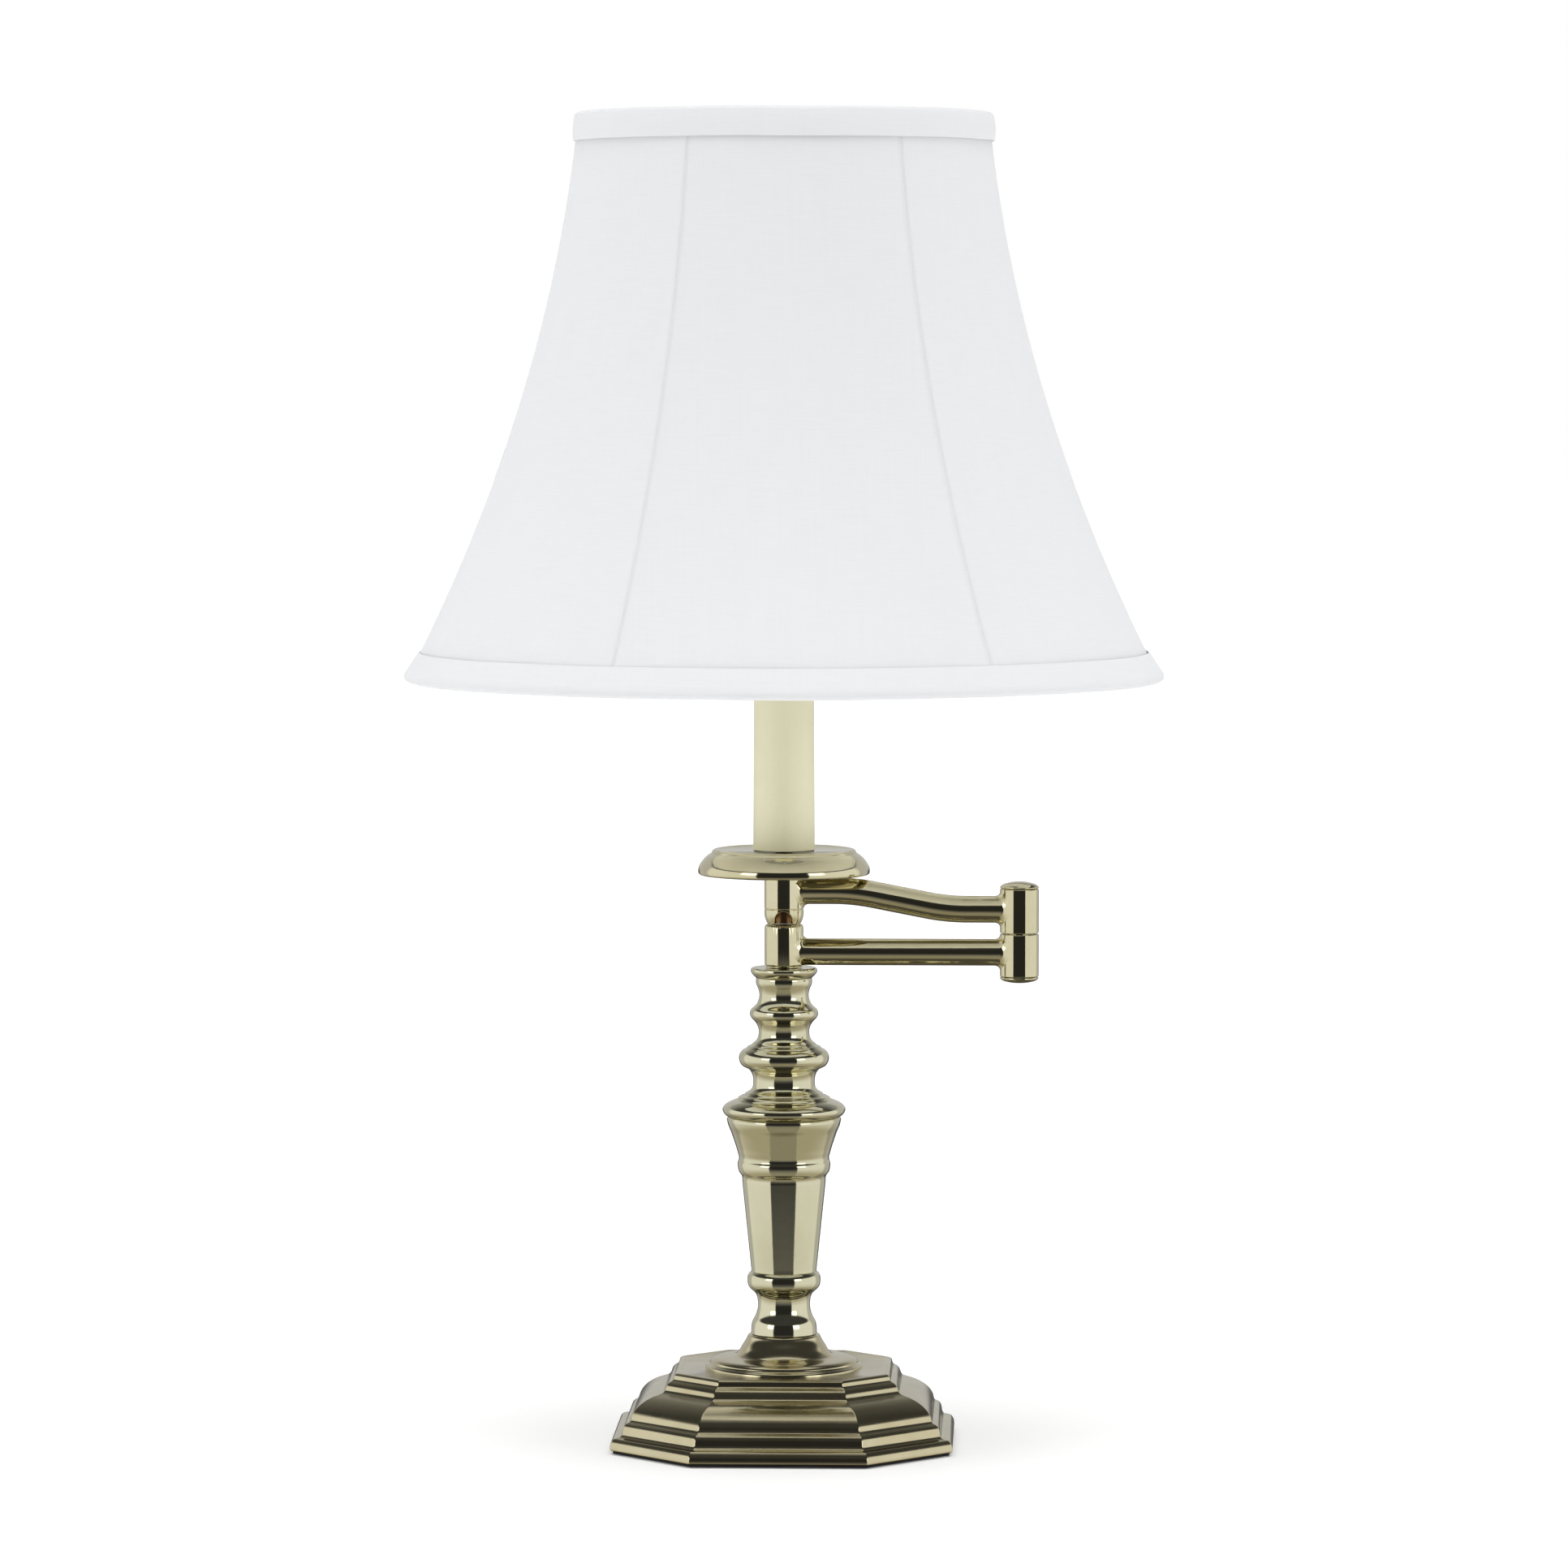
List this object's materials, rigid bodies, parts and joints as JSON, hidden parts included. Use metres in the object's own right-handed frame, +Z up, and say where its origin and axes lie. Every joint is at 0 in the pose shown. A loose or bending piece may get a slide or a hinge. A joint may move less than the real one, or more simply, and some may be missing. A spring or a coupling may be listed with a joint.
{
  "type": "swing arm table lamp",
  "caption": "Table lamp with a stepped eight-sided base, a turned column, a folding double swing arm, a candle-style stem and a bell shade on a harp.",
  "frame": {"origin": "the middle of the underside of the base, on the table", "axes": "+Z up, +X towards the folded arms' elbow, -Y towards the front, where the switch is"},
  "size_m": [0.4044, 0.4044, 0.712],
  "materials": {
    "polished_brass": "polished pale champagne brass, clear lacquered",
    "satin_brass": "satin pale champagne brass",
    "brown_copper": "dark brown oxidised copper alloy",
    "zinc_steel": "zinc plated steel",
    "cast_iron": "raw casting",
    "aluminium": "plain",
    "black_felt": "matte felt",
    "black_plastic": "satin moulded",
    "fibre_card": "pressed fibre, matte",
    "white_wire": "white enamelled wire",
    "white_linen": "fine plain weave, matte",
    "white_lining": "soft satin lining",
    "opal_glass": "frosted white"
  },
  "bodies": {
    "base": {"base_casting": "satin_brass", "felt_pad": "black_felt", "base_weight": "cast_iron", "base_washer": "zinc_steel", "base_nut": "zinc_steel", "cord_grommet": "black_plastic", "column_pipe": "zinc_steel", "column_neck": "polished_brass", "column_cone": "polished_brass", "column_spindle": "polished_brass", "swivel_stem": "polished_brass", "swivel_bearing": "polished_brass", "swivel_washer": "fibre_card", "swivel_nut": "zinc_steel"},
    "lower_arm": {"lower_knuckle": "polished_brass", "swivel_cover": "polished_brass", "lower_arm_tube": "polished_brass", "elbow_lower_knuckle": "polished_brass", "elbow_bottom_cap": "polished_brass", "elbow_stud": "polished_brass", "elbow_washer": "fibre_card", "elbow_nut": "zinc_steel"},
    "upper_arm": {"elbow_upper_knuckle": "polished_brass", "elbow_top_cap": "polished_brass", "upper_arm_tube": "polished_brass", "head_knuckle": "polished_brass", "head_bushing": "brown_copper", "candle_pipe": "zinc_steel", "drip_pan": "polished_brass", "pan_nut": "zinc_steel", "candle_tube": "satin_brass", "candle_cap": "satin_brass", "socket_cap": "polished_brass", "socket_shell": "polished_brass", "socket_liner": "fibre_card", "socket_body": "black_plastic", "screw_shell": "aluminium", "centre_contact": "polished_brass", "bulb_cap": "aluminium", "bulb_glass": "opal_glass", "harp_saddle": "polished_brass", "harp": "polished_brass", "finial": "polished_brass", "spider": "white_wire", "shade_top_ring": "white_wire", "shade_bottom_ring": "white_wire", "shade_rib_1": "white_wire", "shade_rib_2": "white_wire", "shade_rib_3": "white_wire", "shade_rib_4": "white_wire", "shade_rib_5": "white_wire", "shade_rib_6": "white_wire", "shade_cover": "white_linen", "shade_lining": "white_lining", "shade_top_band": "white_linen", "shade_bottom_band": "white_linen"},
    "switch": {"switch_knob": "black_plastic"},
    "left_sleeve": {"harp_sleeve_left": "polished_brass"},
    "right_sleeve": {"harp_sleeve_right": "polished_brass"}
  },
  "joints": [
    {"name": "arm_swing", "type": "hinge", "parent": "base", "child": "lower_arm", "pos_m": [0, 0, 0.2665], "axis": [0, 0, 1], "range_deg": [-170, 170]},
    {"name": "elbow_swing", "type": "hinge", "parent": "lower_arm", "child": "upper_arm", "pos_m": [0.126, 0, 0.2747], "axis": [0, 0, 1], "range_deg": [-180, 180]},
    {"name": "switch_turn", "type": "hinge", "parent": "upper_arm", "child": "switch", "pos_m": [0, 0, 0.481], "axis": [0, -1, 0], "continuous": true},
    {"name": "left_sleeve_lift", "type": "slide", "parent": "upper_arm", "child": "left_sleeve", "axis": [0, 0, 1], "range_m": [0, 0.013]},
    {"name": "right_sleeve_lift", "type": "slide", "parent": "upper_arm", "child": "right_sleeve", "axis": [0, 0, 1], "range_m": [0, 0.013]}
  ]
}
